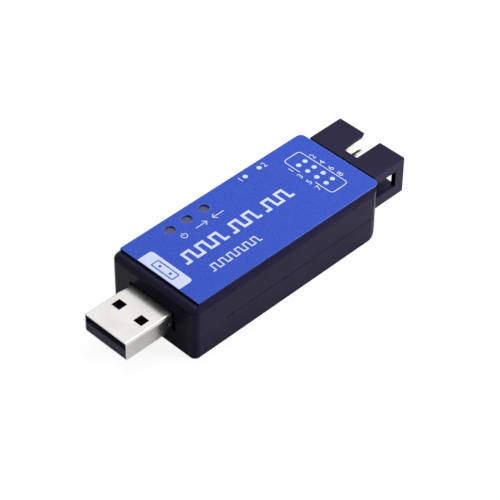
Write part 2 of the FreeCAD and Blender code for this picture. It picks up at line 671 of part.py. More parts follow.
# selector switch: a housing on the board and a knob that slides in it
HOUSING_LOW = "(%s - switch_deep)" % SWITCH_FRONT
SLIDER_FRONT = "(%s - switch_skin - knob_play)" % SWITCH_FRONT
housing_block = middle_box("housing_block", SWITCH_X,
                           "%s - switch_deep / 2" % SWITCH_FRONT, BOARD_TOP,
                           "switch_long", "switch_deep", "switch_tall")
housing_hollow = box(
    "housing_hollow", "%s - slider_long / 2 - knob_travel / 2 - knob_play" % SWITCH_X,
    "%s - slider_deep - knob_play" % SLIDER_FRONT,
    "%s - slider_tall / 2 - knob_play" % KNOB_MIDDLE,
    "slider_long + knob_travel + 2 * knob_play", "slider_deep + 2 * knob_play",
    "slider_tall + 2 * knob_play")
housing_slot = middle_box(
    "housing_slot", SWITCH_X, "%s - switch_skin / 2" % SWITCH_FRONT,
    "%s - knob_side / 2 - knob_play" % KNOB_MIDDLE,
    "knob_side + knob_travel + 2 * knob_play", "switch_skin + 1",
    "knob_side + 2 * knob_play")
selector_housing = cut("selector_housing", housing_block, housing_hollow, housing_slot)
KNOB_X = "(%s - knob_travel / 2)" % SWITCH_X
slider = middle_box("slider", KNOB_X, "%s - slider_deep / 2" % SLIDER_FRONT,
                    "%s - slider_tall / 2" % KNOB_MIDDLE, "slider_long",
                    "slider_deep", "slider_tall")
stem = box("stem", "%s - knob_side / 2" % KNOB_X, "%s - slider_deep / 2" % SLIDER_FRONT,
           "%s - knob_side / 2" % KNOB_MIDDLE, "knob_side",
           "%s - knob_sunk - %s + slider_deep / 2" % (SIDE, SLIDER_FRONT), "knob_side")
selector_knob = fuse("selector_knob", slider, stem)
terminals = []
for number in (-1, 0, 1):
    where = "(%s + %d * terminal_pitch)" % (SWITCH_X, number)
    across = "(%s - switch_deep / 2)" % SWITCH_FRONT
    terminals.append(middle_box(
        "selector_leg_%d" % (number + 2), where, across, TAB_LOW, "terminal_side",
        "terminal_side", "%s - %s" % (BOARD_TOP, TAB_LOW)))
    leg_holes.append(middle_box(
        "selector_hole_%d" % (number + 2), where, across, "%s - 1" % BOARD_UNDER,
        "terminal_side + 2 * leg_play", "terminal_side + 2 * leg_play",
        "board_thick + 2"))
selector_terminals = group("selector_terminals", terminals)

# circuit board with holes for every leg
for number, side in enumerate((-1, 1), start=1):
    leg_holes.append(middle_box(
        "tab_hole_%d" % number, TAB_X, "%d * (plug_width / 2 - plug_sheet / 2)" % side,
        "%s - 1" % BOARD_UNDER, "tab_long + 2 * leg_play", "plug_sheet + 2 * leg_play",
        "board_thick + 2"))
board_blank = middle_box("board_blank", "0", "0", BOARD_UNDER, BOARD_LONG, BOARD_WIDE,
                         "board_thick")
circuit_board = cut("circuit_board", board_blank, *leg_holes, *pin_holes)


def chip(name, x, y, long, wide, tall, per_side, pitch, lead):
    """A moulded body that stands on two rows of flat feet."""
    body = middle_box(name, x, y, "%s + lead_thick" % BOARD_TOP, long, wide, tall)
    feet = []
    for side in (-1, 1):
        for n in range(per_side):
            feet.append(middle_box(
                "%s_foot_%d" % (name, len(feet) + 1),
                "%s + %s * %s" % (x, n - (per_side - 1) / 2, pitch),
                "%s + %d * (%s / 2 + (lead_reach - lead_under) / 2)" % (y, side, wide),
                BOARD_TOP, lead, "lead_reach + lead_under", "lead_thick"))
    return body, feet


def from_front(alias):
    return "(%s + %s)" % (FRONT, alias)


# the two chips share the room between the guards evenly
HEADER_GUARD_X = "(%s - header_guard_inset)" % REAR
CHIP_ROOM_START = "(%s + plug_guard_middle + guard_long / 2)" % FRONT
CHIP_ROOM_END = "(%s - guard_long / 2)" % HEADER_GUARD_X
CHIP_SPACE = "((%s - %s - converter_long - buffer_long) / 3)" % (
    CHIP_ROOM_END, CHIP_ROOM_START)
CONVERTER_X = "(%s + %s + converter_long / 2)" % (CHIP_ROOM_START, CHIP_SPACE)
BUFFER_X = "(%s - %s - buffer_long / 2)" % (CHIP_ROOM_END, CHIP_SPACE)
REGULATOR_Y = "(-%s / 2 + regulator_inset)" % BOARD_WIDE

converter_chip, feet_a = chip("converter_chip", CONVERTER_X,
                              "converter_side", "converter_long", "converter_wide",
                              "converter_tall", 14, "lead_pitch", "lead_wide")
buffer_chip, feet_b = chip("buffer_chip", BUFFER_X, "buffer_side",
                           "buffer_long", "buffer_wide", "buffer_tall", 7,
                           "lead_pitch", "lead_wide")
voltage_regulator, feet_c = chip("voltage_regulator", from_front("regulator_middle"),
                                 REGULATOR_Y, "regulator_long", "regulator_wide",
                                 "regulator_tall", 3, "regulator_pitch",
                                 "regulator_lead")
plug_surge_guard, feet_d = chip("plug_surge_guard", from_front("plug_guard_middle"),
                                "0", "guard_long", "guard_wide", "guard_tall", 3,
                                "guard_pitch", "guard_lead")
header_surge_guard, feet_e = chip("header_surge_guard", HEADER_GUARD_X,
                                  "header_guard_side", "guard_long", "guard_wide",
                                  "guard_tall", 3, "guard_pitch", "guard_lead")
converter_chip_feet = group("converter_chip_feet", feet_a)
buffer_chip_feet = group("buffer_chip_feet", feet_b)
regulator_feet = group("regulator_feet", feet_c)
surge_guard_feet = group("surge_guard_feet", feet_d + feet_e)
resettable_fuse = middle_box("resettable_fuse", from_front("fuse_middle"),
                             "plug_width / 2 - fuse_inset", BOARD_TOP, "fuse_long",
                             "fuse_wide", "fuse_tall")
resistors = group("resistors", [
    middle_box("resistor_%d" % (n + 1), light_x(n), "%s - resistor_inset" % SIDE,
               BOARD_TOP, "chip_part_long", "chip_part_wide", "resistor_tall")
    for n in range(3)
])
CHIP_GAP = "(lead_reach + 1.5 * chip_part_wide)"
capacitors = group("capacitors", [
    middle_box("converter_capacitor", CONVERTER_X,
               "converter_side - converter_wide / 2 - %s" % CHIP_GAP, BOARD_TOP,
               "chip_part_long", "chip_part_wide", "capacitor_tall"),
    middle_box("buffer_capacitor", BUFFER_X,
               "buffer_side - buffer_wide / 2 - %s" % CHIP_GAP, BOARD_TOP,
               "chip_part_long", "chip_part_wide", "capacitor_tall"),
    middle_box("regulator_capacitor",
               from_front("regulator_middle")
               + " + regulator_long / 2 + 1.5 * chip_part_long",
               "-%s / 2 + capacitor_inset" % BOARD_WIDE, BOARD_TOP, "chip_part_long",
               "chip_part_wide", "capacitor_tall"),
])

# printed marks: flat strokes that lie on the label
doc.recompute()
front = -size("case_length") / 2
rear = size("case_length") / 2
side_edge = size("case_width") / 2
ink_low = size("case_height") + size("pad_rise") + size("label_thick")
ink = size("ink_thick")


def stroke(x1, y1, x2, y2, thick):
    """A straight bar of ink between two points, as long as they are apart."""
    along = FreeCAD.Vector(x2 - x1, y2 - y1, 0)
    along.normalize()
    across = FreeCAD.Vector(-along.y, along.x, 0) * (thick / 2)
    ends = [FreeCAD.Vector(x1, y1, ink_low), FreeCAD.Vector(x2, y2, ink_low)]
    loop = [ends[0] + across, ends[1] + across, ends[1] - across, ends[0] - across]
    face = Part.Face(Part.makePolygon(loop + loop[:1]))
    return face.extrude(FreeCAD.Vector(0, 0, ink))


def polyline(points, thick):
    """Joined bars with square corners, as one solid."""
    half = thick / 2
    bars = []
    for (x1, y1), (x2, y2) in zip(points, points[1:]):
        reach = math.hypot(x2 - x1, y2 - y1)
        dx = (x2 - x1) / reach * half
        dy = (y2 - y1) / reach * half
        bars.append(stroke(x1 - dx, y1 - dy, x2 + dx, y2 + dy, thick))
    shape = bars[0]
    if len(bars) > 1:
        shape = bars[0].multiFuse(bars[1:]).removeSplitter()
    return shape


def dot(x, y, diameter):
    """A round field of ink, drawn with sixteen short sides."""
    rim = []
    for n in range(16):
        turn = math.pi * n / 8
        rim.append(FreeCAD.Vector(x + diameter / 2 * math.cos(turn),
                                  y + diameter / 2 * math.sin(turn), ink_low))
    face = Part.Face(Part.makePolygon(rim + rim[:1]))
    return face.extrude(FreeCAD.Vector(0, 0, ink))


def pulses(x, y, tall, pulse, count, thick):
    """A square wave that starts and ends on its low level."""
    low = y - tall / 2 + thick / 2
    high = y + tall / 2 - thick / 2
    points = [(x, low)]
    for n in range(count):
        left = x + (2 * n + 0.5) * pulse
        points += [(left, low), (left, high), (left + pulse, high), (left + pulse, low)]
    points.append((x + 2 * count * pulse, low))
    return polyline(points, thick), x + 2 * count * pulse


# corners of a digit's grid: left or right, and low, middle or high
DIGITS = {
    "1": ["RL RH"],
    "2": ["LH RH RM LM LL RL"],
    "3": ["LH RH RL LL", "LM RM"],
    "4": ["LH LM RM", "RH RL"],
    "5": ["RH LH LM RM RL LL"],
    "6": ["RH LH LL RL RM LM"],
    "7": ["LH RH RL"],
    "8": ["LM LH RH RL LL LM RM"],
}


def digit(symbol, x, y):
    """A number drawn with straight strokes, its middle at x, y."""
    thick = size("digit_stroke")
    half_wide = (size("digit_wide") - thick) / 2
    half_tall = (size("digit_tall") - thick) / 2
    across = {"L": -half_wide, "R": half_wide}
    up = {"L": -half_tall, "M": 0, "H": half_tall}
    bars = []
    for path in DIGITS[symbol]:
        corners = [(x + across[c[0]], y + up[c[1]]) for c in path.split()]
        bars.append(polyline(corners, thick))
    shape = bars[0]
    if len(bars) > 1:
        shape = bars[0].multiFuse(bars[1:]).removeSplitter()
    return shape


marks = []

# white field at the front edge, with a small plug outline left blue
edge = front + size("label_front_inset")
depth = size("tab_depth")
left = size("tab_left")
right = size("tab_right")
radius = size("tab_radius")
field = Part.makeBox(depth, left + right, ink, FreeCAD.Vector(edge, -right, ink_low))
rear_edges = [
    e for e in field.Edges
    if abs(e.Vertexes[0].Point.z - e.Vertexes[-1].Point.z) > ink / 2
    and e.CenterOfMass.x > edge + depth / 2
]
field = field.makeFillet(radius, rear_edges)
middle_x = edge + depth / 2
middle_y = (left - right) / 2
line = size("fine_stroke")
symbol_wide = depth / 2
symbol_long = (left + right) / 2
outline = polyline([
    (middle_x - symbol_wide / 2, middle_y + symbol_long / 2),
    (middle_x + symbol_wide / 2, middle_y + symbol_long / 2),
    (middle_x + symbol_wide / 2, middle_y - symbol_long / 2),
    (middle_x - symbol_wide / 2, middle_y - symbol_long / 2),
    (middle_x - symbol_wide / 2, middle_y + symbol_long / 2)], line)
blocks = [
    stroke(middle_x - symbol_wide / 6, middle_y + side * symbol_long / 4,
           middle_x + symbol_wide / 6, middle_y + side * symbol_long / 4,
           symbol_wide / 3)
    for side in (-1, 1)
]
marks.append(field.cut([outline] + blocks))

# wide trace in three groups and a fine trace below it
trace_y = size("trace_side")
trace_tall = size("trace_tall")
trace_stroke = size("trace_stroke")
TRACE_GROUPS = (3, 2, 2)
x = front + size("trace_start")
trace_run = rear - size("trace_end") - x
pulse = trace_run / (2 * sum(TRACE_GROUPS) + len(TRACE_GROUPS) - 1)
for count in TRACE_GROUPS:
    shape, x = pulses(x, trace_y, trace_tall, pulse, count, trace_stroke)
    marks.append(shape)
    x += pulse
FINE_GROUPS = (6,)
for count in FINE_GROUPS:
    shape, x = pulses(front + size("fine_start"), size("fine_side"),
                      size("fine_tall"), size("fine_run") / (2 * count), count,
                      size("fine_stroke"))
    marks.append(shape)

# marks beside the lights: a ring with a bar, an arrow out and an arrow in
icon_y = side_edge - size("icon_inset")
icon = size("digit_tall")
thin = size("digit_stroke")
for n in range(3):
    x = front + size("light_first") + n * size("light_pitch") + size("icon_ahead")
    if n == 0:
        ring = dot(x, icon_y, icon).cut(dot(x, icon_y, icon - 2 * thin))
        gap = stroke(x, icon_y, x, icon_y + icon, 3 * thin)
        marks.append(ring.cut(gap))
        marks.append(stroke(x, icon_y, x, icon_y + icon / 2 + thin, thin))
    else:
        way = 1 if n == 1 else -1
        tip = x + way * icon
        shaft = stroke(x - way * icon, icon_y, tip - way * thin, icon_y, thin)
        head = polyline([(tip - way * icon / 2, icon_y + icon / 2), (tip, icon_y),
                         (tip - way * icon / 2, icon_y - icon / 2)], thin)
        marks.append(shaft.fuse(head).removeSplitter())

# selector dots with their numbers
selector_x = rear - size("switch_inset")
selector_y = side_edge - size("selector_dot_inset")
half = size("selector_dot_pitch") / 2
beside = size("dot_diameter") / 2 + size("digit_wide")
marks.append(dot(selector_x - half, selector_y, size("dot_diameter")))
marks.append(dot(selector_x + half, selector_y, size("dot_diameter")))
marks.append(digit("1", selector_x - half - beside, selector_y))
marks.append(digit("2", selector_x + half + beside, selector_y))

# pin plan: eight dots in an outline that is open on one side, with their numbers
plan_x = rear - size("plan_inset")
plan_y = size("plan_side")
half_long = size("plan_long") / 2
half_wide = size("plan_wide") / 2
half_gap = size("plan_gap") / 2
corner = size("plan_stroke") * 3
plan_line = size("plan_stroke")
for side in (-1, 1):
    marks.append(polyline([
        (plan_x - half_long, plan_y + side * half_gap),
        (plan_x - half_long, plan_y + side * (half_wide - corner)),
        (plan_x - half_long + corner, plan_y + side * half_wide),
        (plan_x + half_long - corner, plan_y + side * half_wide),
        (plan_x + half_long, plan_y + side * (half_wide - corner)),
        (plan_x + half_long, plan_y + side * plan_line / 2)], plan_line))
number_reach = half_long + size("digit_wide")
for column in range(len(COLUMNS)):
    y = plan_y + ((len(COLUMNS) - 1) / 2 - column) * size("plan_pitch_wide")
    for row in (-1, 1):
        marks.append(dot(plan_x + row * size("plan_pitch_long") / 2, y,
                         size("dot_diameter")))
        name = str(2 * column + (1 if row < 0 else 2))
        marks.append(digit(name, plan_x + row * number_reach, y))

label_print = doc.addObject("Part::Feature", "label_print")
label_print.Shape = Part.makeCompound(marks)

doc.recompute()

NODES = {
    "bottom_shell": bottom_shell,
    "top_shell": top_shell,
    "label_plate": label_plate,
    "label_print": label_print,
    "circuit_board": circuit_board,
    "plug_shell": plug_shell,
    "plug_tongue": plug_tongue,
    "plug_contacts": plug_contacts,
    "header_body": header_body,
    "header_pins": header_pins,
    "selector_housing": selector_housing,
    "selector_knob": selector_knob,
    "selector_terminals": selector_terminals,
    "converter_chip": converter_chip,
    "converter_chip_feet": converter_chip_feet,
    "buffer_chip": buffer_chip,
    "buffer_chip_feet": buffer_chip_feet,
    "voltage_regulator": voltage_regulator,
    "regulator_feet": regulator_feet,
    "plug_surge_guard": plug_surge_guard,
    "header_surge_guard": header_surge_guard,
    "surge_guard_feet": surge_guard_feet,
    "resettable_fuse": resettable_fuse,
    "resistors": resistors,
    "capacitors": capacitors,
}
for part in light_parts:
    NODES[part.Name] = part

for obj in doc.Objects:
    if "Invalid" in obj.State or "Error" in obj.State:
        raise RuntimeError("%s failed to build" % obj.Name)

os.makedirs("parts", exist_ok=True)
for name, obj in NODES.items():
    obj.Label = name
    shape = obj.Shape
    if shape.isNull() or not shape.isValid() or not shape.Solids:
        raise RuntimeError("%s has no sound solid" % name)
for name, obj in NODES.items():
    obj.Shape.exportStep(os.path.join("parts", name + ".step"))
    print("%-22s %3d solids %9.2f mm3" % (name, len(obj.Shape.Solids), obj.Shape.Volume))
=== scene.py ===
import json
import math

import bmesh
import bpy
from mathutils import Matrix, Vector

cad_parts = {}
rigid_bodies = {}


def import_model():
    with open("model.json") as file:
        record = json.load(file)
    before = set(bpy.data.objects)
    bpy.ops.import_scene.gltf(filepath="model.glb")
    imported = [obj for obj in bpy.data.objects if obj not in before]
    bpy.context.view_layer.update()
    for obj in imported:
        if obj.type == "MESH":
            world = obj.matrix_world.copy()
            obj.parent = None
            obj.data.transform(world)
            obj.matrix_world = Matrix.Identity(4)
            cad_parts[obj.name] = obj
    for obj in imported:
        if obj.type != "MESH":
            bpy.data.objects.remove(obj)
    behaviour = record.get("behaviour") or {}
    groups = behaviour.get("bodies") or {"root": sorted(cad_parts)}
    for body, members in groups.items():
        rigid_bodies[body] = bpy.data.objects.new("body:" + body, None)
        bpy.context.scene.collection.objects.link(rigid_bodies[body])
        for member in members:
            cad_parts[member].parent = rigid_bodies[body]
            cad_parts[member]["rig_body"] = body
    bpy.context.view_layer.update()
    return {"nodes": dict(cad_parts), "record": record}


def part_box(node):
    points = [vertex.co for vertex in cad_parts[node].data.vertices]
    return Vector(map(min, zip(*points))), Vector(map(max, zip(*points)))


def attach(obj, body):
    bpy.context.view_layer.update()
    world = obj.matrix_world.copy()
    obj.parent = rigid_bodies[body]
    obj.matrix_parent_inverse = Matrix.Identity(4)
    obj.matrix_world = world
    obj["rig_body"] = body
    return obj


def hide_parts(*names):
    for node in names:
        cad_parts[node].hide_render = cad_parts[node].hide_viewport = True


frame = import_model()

MM = 0.001
nodes = frame["nodes"]
scene = bpy.context.scene
scene.view_settings.view_transform = "Standard"


# camera at the photograph's angle

camera_data = bpy.data.cameras.new("camera")
camera = bpy.data.objects.new("camera", camera_data)
scene.collection.objects.link(camera)
camera_data.sensor_width = 36.0
camera_data.lens = 151.755
camera_data.clip_start = 0.01
camera_data.clip_end = 20.0
right = Vector((0.708198, -0.705954, 0.009156))
up = Vector((0.470663, 0.481745, 0.739187))
back = Vector((-0.526243, -0.519182, 0.673438))
place = Vector((-0.2242592, -0.2215735, 0.2917838))
camera.matrix_world = Matrix((
    (right.x, up.x, back.x, place.x),
    (right.y, up.y, back.y, place.y),
    (right.z, up.z, back.z, place.z),
    (0.0, 0.0, 0.0, 1.0)))
scene.camera = camera


# small kit for node materials

# ranges of a noise's values: nearly all of them, the middle ones and the peaks
WHOLE = (0.30, 0.70)
MIDDLE = (0.35, 0.65)
PEAKS = (0.62, 0.78)
# how far two normals agree on a flat face and at an edge
FLAT_MATCH, EDGE_MATCH = 0.999, 0.90
EDGE_SAMPLES = 6
# the colour sockets of a mix node
MIX_FIRST, MIX_SECOND, MIX_RESULT = 6, 7, 2


class Nodes:
    """Adds nodes to a material and links them in a line or two."""

    def __init__(self, name):
        self.material = bpy.data.materials.new(name)
        self.material.use_nodes = True
        self.tree = self.material.node_tree
        self.tree.nodes.clear()
        self.out = self.tree.nodes.new("ShaderNodeOutputMaterial")

    def add(self, kind, **settings):
        node = self.tree.nodes.new(kind)
        for key, value in settings.items():
            setattr(node, key, value)
        return node

    def link(self, start, end):
        self.tree.links.new(start, end)

    def coordinates(self, stretch=(1.0, 1.0, 1.0)):
        """Object coordinates, stretched along the axes."""
        source = self.add("ShaderNodeTexCoord")
        mapping = self.add("ShaderNodeMapping")
        mapping.inputs["Scale"].default_value = stretch
        self.link(source.outputs["Object"], mapping.inputs["Vector"])
        return mapping.outputs["Vector"]

    def noise(self, scale, detail, rough, stretch=(1.0, 1.0, 1.0)):
        node = self.add("ShaderNodeTexNoise")
        node.inputs["Scale"].default_value = scale
        node.inputs["Detail"].default_value = detail
        node.inputs["Roughness"].default_value = rough
        self.link(self.coordinates(stretch), node.inputs["Vector"])
        return node.outputs["Fac"]

    def spread(self, value, source, target=(0.0, 1.0)):
        """Maps a value from one range to another, held at the ends."""
        node = self.add("ShaderNodeMapRange")
        node.inputs["From Min"].default_value = source[0]
        node.inputs["From Max"].default_value = source[1]
        node.inputs["To Min"].default_value = target[0]
        node.inputs["To Max"].default_value = target[1]
        self.link(value, node.inputs["Value"])
        return node.outputs["Result"]

    def between(self, value, first, second):
        """A mix by a value of two colours, each given as numbers or a socket."""
        node = self.add("ShaderNodeMix", data_type="RGBA")
        self.link(value, node.inputs["Factor"])
        for socket, colour in ((MIX_FIRST, first), (MIX_SECOND, second)):
            if isinstance(colour, tuple):
                node.inputs[socket].default_value = (*colour, 1.0)
            else:
                self.link(colour, node.inputs[socket])
        return node.outputs[MIX_RESULT]

    def bump(self, height, strength, distance):
        node = self.add("ShaderNodeBump")
        node.inputs["Strength"].default_value = strength
        node.inputs["Distance"].default_value = distance
        self.link(height, node.inputs["Height"])
        return node.outputs["Normal"]

    def edges(self, radius):
        """About 1 at convex and concave edges and 0 on flat faces."""
        soft = self.add("ShaderNodeBevel", samples=EDGE_SAMPLES)
        soft.inputs["Radius"].default_value = radius
        flat = self.add("ShaderNodeNewGeometry")
        dot = self.add("ShaderNodeVectorMath", operation="DOT_PRODUCT")
        self.link(soft.outputs["Normal"], dot.inputs[0])
        self.link(flat.outputs["Normal"], dot.inputs[1])
        return self.spread(dot.outputs["Value"], (FLAT_MATCH, EDGE_MATCH))

    def principled(self, **inputs):
        node = self.add("ShaderNodeBsdfPrincipled")
        for key, value in inputs.items():
            node.inputs[key.replace("_", " ")].default_value = value
        self.link(node.outputs["BSDF"], self.out.inputs["Surface"])
        return node


def linear(red, green, blue):
    """A colour from 0 to 255 screen values, as the shader wants it."""
    made = []
    for value in (red, green, blue):
        v = value / 255.0
        made.append(v / 12.92 if v <= 0.04045 else ((v + 0.055) / 1.055) ** 2.4)
    return tuple(made)


# materials, one for each finish in the record

CASE_GLOSS = (0.74, 0.66, 1.0)
CASE_ROUGH = (0.30, 0.40)
# how much of the paler colour, which is also the painted edge highlight, the grain's
# peaks take
SPECK_SHARE = (0.0, 0.35)


def moulded(name, dark, light, edge, rough=(0.40, 0.56), specular=0.2,
            gloss=(1.0, 1.0, 1.0)):
    """Moulded plastic: fine satin grain, faint cloudiness, and a painted highlight in a
    paler colour along convex and concave edges.
    """
    kit = Nodes(name)
    body = kit.principled(Specular_IOR_Level=specular, Specular_Tint=(*gloss, 1.0))
    cloud = kit.noise(scale=220.0, detail=4.0, rough=0.55)
    fine = kit.noise(scale=5200.0, detail=2.0, rough=0.6)
    tone = kit.between(kit.spread(cloud, MIDDLE), dark, light)
    speck = kit.between(kit.spread(fine, PEAKS, SPECK_SHARE), tone, edge)
    # painted highlight: the paler colour laid over every edge the bevel node finds
    colour_with_painted_highlight = kit.between(kit.edges(radius=0.18 * MM), speck, edge)
    kit.link(colour_with_painted_highlight, body.inputs["Base Color"])
    kit.link(kit.spread(fine, WHOLE, rough), body.inputs["Roughness"])
    kit.link(kit.bump(fine, strength=0.16, distance=0.03 * MM), body.inputs["Normal"])
    return kit.material


def sheet_metal(name, dark, light, rough=(0.20, 0.32), scratch=0.06):
    """Plated sheet with fine lines along its length and cloudy plating."""
    kit = Nodes(name)
    body = kit.principled(Metallic=1.0)
    lines = kit.noise(scale=3.0, detail=5.0, rough=0.65, stretch=(60.0, 1400.0, 1400.0))
    cloud = kit.noise(scale=260.0, detail=3.0, rough=0.5)
    cloud_range = (0.35, 0.68)
    kit.link(kit.between(kit.spread(cloud, cloud_range), dark, light),
             body.inputs["Base Color"])
    kit.link(kit.spread(lines, WHOLE, rough), body.inputs["Roughness"])
    kit.link(kit.bump(lines, strength=scratch, distance=0.02 * MM), body.inputs["Normal"])
    return kit.material


def label_material():
    """Royal blue plate with the fine speckle of a printed film, and a painted highlight
    in paler blue along its edges.
    """
    kit = Nodes("label_plastic")
    body = kit.principled(Specular_IOR_Level=0.12)
    fine = kit.noise(scale=4200.0, detail=2.0, rough=0.7)
    broad = kit.noise(scale=900.0, detail=3.0, rough=0.6)
    fine_range, broad_range, broad_share = (0.32, 0.68), (0.35, 0.70), (0.0, 0.35)
    base = kit.between(kit.spread(fine, fine_range), linear(34, 63, 164),
                       linear(67, 93, 193))
    tone = kit.between(kit.spread(broad, broad_range, broad_share), base,
                       linear(42, 70, 171))
    # painted highlight: a paler blue laid along the plate's edges
    colour_with_painted_highlight = kit.between(kit.edges(radius=0.22 * MM), tone, linear(112, 138, 224))
    kit.link(colour_with_painted_highlight, body.inputs["Base Color"])
    kit.link(kit.spread(fine, WHOLE, target=(0.42, 0.55)), body.inputs["Roughness"])
    kit.link(kit.bump(fine, strength=0.12, distance=0.02 * MM), body.inputs["Normal"])
    return kit.material


def ink_material():
    """White screen print, a little uneven in its coverage."""
    kit = Nodes("white_ink")
    body = kit.principled(Specular_IOR_Level=0.3)
    fine = kit.noise(scale=6000.0, detail=3.0, rough=0.65)
    cover_range = (0.35, 0.75)
    kit.link(kit.between(kit.spread(fine, cover_range), linear(200, 208, 240),
                         linear(182, 193, 232)), body.inputs["Base Color"])
    kit.link(kit.spread(fine, WHOLE, target=(0.50, 0.65)), body.inputs["Roughness"])
    kit.link(kit.bump(fine, strength=0.1, distance=0.01 * MM), body.inputs["Normal"])
    return kit.material


def lens_material():
    """Smoke coloured window over a light, a little cloudy."""
    kit = Nodes("clear_plastic")
    body = kit.principled(Transmission_Weight=0.25, IOR=1.49, Coat_Weight=0.3,
                          Coat_Roughness=0.15)
    fine = kit.noise(scale=1800.0, detail=3.0, rough=0.6)
    kit.link(kit.between(kit.spread(fine, WHOLE), linear(44, 50, 112),
                         linear(66, 62, 118)), body.inputs["Base Color"])
    kit.link(kit.spread(fine, WHOLE, target=(0.28, 0.42)), body.inputs["Roughness"])
    kit.link(kit.bump(fine, strength=0.08, distance=0.03 * MM), body.inputs["Normal"])
    return kit.material


def board_material():
    """Green solder mask with faint copper runs under it."""
    kit = Nodes("board_laminate")
    body = kit.principled(Specular_IOR_Level=0.5, Coat_Weight=0.2)
    runs = kit.add("ShaderNodeTexBrick", offset=0.5)
    runs.inputs["Scale"].default_value = 420.0
    runs.inputs["Mortar Size"].default_value = 0.06
    runs.inputs["Color1"].default_value = (*linear(22, 92, 58), 1.0)
    runs.inputs["Color2"].default_value = (*linear(18, 84, 52), 1.0)
    runs.inputs["Mortar"].default_value = (*linear(48, 122, 78), 1.0)
    kit.link(kit.coordinates(), runs.inputs["Vector"])
    kit.link(runs.outputs["Color"], body.inputs["Base Color"])
    fine = kit.noise(scale=2600.0, detail=2.0, rough=0.5)
    kit.link(kit.spread(fine, WHOLE, target=(0.30, 0.42)), body.inputs["Roughness"])
    kit.link(kit.bump(runs.outputs["Fac"], strength=0.2, distance=0.03 * MM),
             body.inputs["Normal"])
    return kit.material


# each moulded finish's third colour is both its grain's paler specks and its painted edge
# highlight
MATERIALS = {
    "case_plastic": moulded("case_plastic", linear(18, 13, 37), linear(22, 17, 43),
                            linear(46, 41, 68), rough=CASE_ROUGH, specular=0.15,
                            gloss=CASE_GLOSS),
    "label_plastic": label_material(),
    "white_ink": ink_material(),
    "board_laminate": board_material(),
    "plug_steel": sheet_metal("plug_steel", (0.75, 0.72, 0.70), (0.80, 0.77, 0.75),
                              rough=(0.18, 0.25), scratch=0.012),
    # painted sheen: the tongue is coloured far paler than its dark bluish plastic,
    # standing in for the light on its shaded face
    "tongue_plastic": moulded("tongue_plastic", linear(92, 92, 122),
                              linear(102, 102, 134), linear(120, 119, 148),
                              specular=0.12),
    "gold_plate": sheet_metal("gold_plate", (0.72, 0.52, 0.22), (0.86, 0.66, 0.32)),
    "pin_plate": sheet_metal("pin_plate", (0.84, 0.78, 0.75), (0.93, 0.88, 0.86),
                             rough=(0.16, 0.26)),
    "header_plastic": moulded("header_plastic", linear(24, 19, 43), linear(28, 23, 49),
                              linear(50, 45, 74), rough=CASE_ROUGH, specular=0.14,
                              gloss=CASE_GLOSS),
    "switch_steel": sheet_metal("switch_steel", (0.56, 0.56, 0.56), (0.70, 0.70, 0.69)),
    "knob_plastic": moulded("knob_plastic", linear(22, 22, 25), linear(30, 30, 34),
                            linear(60, 60, 66)),
    "tinned_metal": sheet_metal("tinned_metal", (0.62, 0.62, 0.63), (0.76, 0.76, 0.77),
                                rough=(0.30, 0.45)),
    "chip_resin": moulded("chip_resin", linear(24, 24, 27), linear(32, 32, 35),
                          linear(62, 62, 66), rough=(0.55, 0.70)),
    "fuse_resin": moulded("fuse_resin", linear(34, 84, 48), linear(44, 98, 58),
                          linear(96, 140, 104), specular=0.4),
    "resistor_ceramic": moulded("resistor_ceramic", linear(28, 28, 34),
                                linear(36, 36, 44), linear(80, 80, 88), specular=0.5),
    "capacitor_ceramic": moulded("capacitor_ceramic", linear(150, 118, 84),
                                 linear(170, 134, 98), linear(192, 160, 124),
                                 specular=0.4),
    "clear_plastic": lens_material(),
    "light_resin": moulded("light_resin", linear(214, 210, 182), linear(226, 222, 196),
                           linear(238, 236, 218), specular=0.4),
}

SLOT_OF = {part["node"]: part["material_slot"] for part in frame["record"]["subparts"]}


def finish_with(thing, slot):
    thing.data.materials.clear()
    thing.data.materials.append(MATERIALS[slot])


def take_place(piece, node):
    """Lets a piece stand for a node, on the node's body and in its finish."""
    scene.collection.objects.link(piece)
    finish_with(piece, SLOT_OF[node])
    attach(piece, nodes[node]["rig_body"])
    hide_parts(node)


for name, thing in nodes.items():
    finish_with(thing, SLOT_OF[name])


# places that several pieces share, in millimetres

FRONT, REAR = (round(corner.x / MM, 3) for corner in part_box("bottom_shell"))
SIDE = round(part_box("bottom_shell")[1].y / MM, 3)
# the case's flat top, below the raised field that carries the label
FIELD_RISE = 0.35
CASE_TOP = round(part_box("label_plate")[0].z / MM - FIELD_RISE, 3)

# the row of lights and its holes in the label
LIGHTS = 3
LIGHT_FIRST, LIGHT_PITCH = 12.5, 4.65
LIGHT_Y = SIDE - 3.7
LIGHT_HOLE = 2.4


# visible pieces with softened edges, in place of the sharp solids

# size of the rounding where three of the case's roundings meet
BALL = Vector((1.65, 1.5, 1.5)) * MM
BALL_STEPS = 5
# points this close to each other, or to a cut, are one; in metres
SAME_POINT, SAME_CUT = 2e-6, 1e-5
# a share of the ball below which a point counts as outside its corner
INSIDE = 1e-4
SAME_PLANE = math.radians(0.5)
SHARP = math.radians(32)
EDGE_STEPS = 2
FACE_WEIGHT = 100


def corner_faces(work, reach):
    """Faces with a point in the corner, and their edges and points."""
    faces = [face for face in work.faces
             if any(min(reach(vert)) > INSIDE for vert in face.verts)]
    edges = dict.fromkeys(edge for face in faces for edge in face.edges)
    verts = dict.fromkeys(vert for face in faces for vert in face.verts)
    return faces + list(edges) + list(verts)


